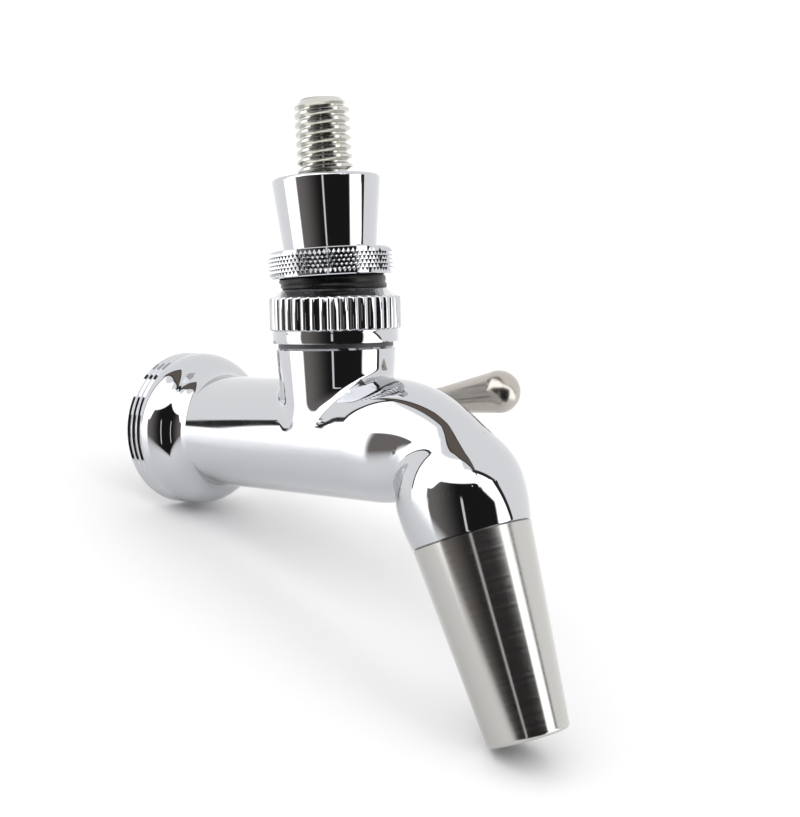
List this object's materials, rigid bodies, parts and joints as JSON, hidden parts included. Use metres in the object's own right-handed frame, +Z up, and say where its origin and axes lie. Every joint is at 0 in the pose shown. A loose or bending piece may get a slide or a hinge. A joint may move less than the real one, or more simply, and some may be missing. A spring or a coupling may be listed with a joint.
{
  "type": "beer faucet",
  "caption": "Chrome beer faucet with a bent body, a ball lever with a threaded stud, a screw-on spout and a flow control lever on its side.",
  "frame": {"origin": "centre of the rear face, on the axis of the shank thread", "axes": "+X forward along the shank's axis, away from the wall or tower, +Z up, +Y towards the flow control lever"},
  "size_m": [0.0893, 0.0379, 0.1053],
  "materials": {
    "chrome_plate": "mirror polished",
    "satin_stainless": "satin, turned",
    "plain_stainless": "machined, semi-bright",
    "seal_rubber": "satin black",
    "white_acetal": "matt",
    "grey_acetal": "matt"
  },
  "bodies": {
    "faucet": {"faucet_body": "chrome_plate", "spout": "satin_stainless", "spout_o_ring": "seal_rubber", "shank_washer": "seal_rubber", "retaining_ring": "plain_stainless", "flow_cone": "grey_acetal", "ball_seat_o_ring": "seal_rubber", "ball_seat_ring": "white_acetal", "bearing_cup": "white_acetal", "bonnet_washer": "grey_acetal", "bonnet_collar": "chrome_plate", "friction_washer": "seal_rubber", "gland_washer": "white_acetal", "flow_gland_nut": "chrome_plate"},
    "lever": {"ball_lever": "plain_stainless", "lock_nut": "chrome_plate", "ferrule": "chrome_plate"},
    "shuttle": {"shuttle": "plain_stainless", "shuttle_nose": "grey_acetal", "seat_o_ring": "seal_rubber", "tail_guide": "white_acetal"},
    "flow_control": {"flow_shaft": "plain_stainless", "shaft_o_ring": "seal_rubber", "flow_lever": "satin_stainless", "flow_lever_screw": "plain_stainless"},
    "sleeve": {"flow_sleeve": "grey_acetal", "sleeve_o_ring_rear": "seal_rubber", "sleeve_o_ring_front": "seal_rubber"}
  },
  "joints": [
    {"name": "lever_tilt", "type": "hinge", "parent": "faucet", "child": "lever", "pos_m": [0.04197, 0, 0.016], "axis": [0, 1, 0], "range_deg": [0, 16], "deforming": ["friction_washer"]},
    {"name": "shuttle_slide", "type": "slide", "parent": "faucet", "child": "shuttle", "axis": [1, 0, 0], "range_m": [-0.0042, 0]},
    {"name": "flow_lever_turn", "type": "hinge", "parent": "faucet", "child": "flow_control", "pos_m": [0.027, 0, 0], "axis": [0, 1, 0], "range_deg": [-50, 50]},
    {"name": "flow_sleeve_slide", "type": "slide", "parent": "faucet", "child": "sleeve", "axis": [1, 0, 0], "range_m": [-0.0016, 0.0016]}
  ],
  "couplings": [
    {"joint": "shuttle_slide", "follows": "lever_tilt", "m_per_rad": -0.01489},
    {"joint": "flow_sleeve_slide", "follows": "flow_lever_turn", "m_per_rad": 0.00182}
  ]
}
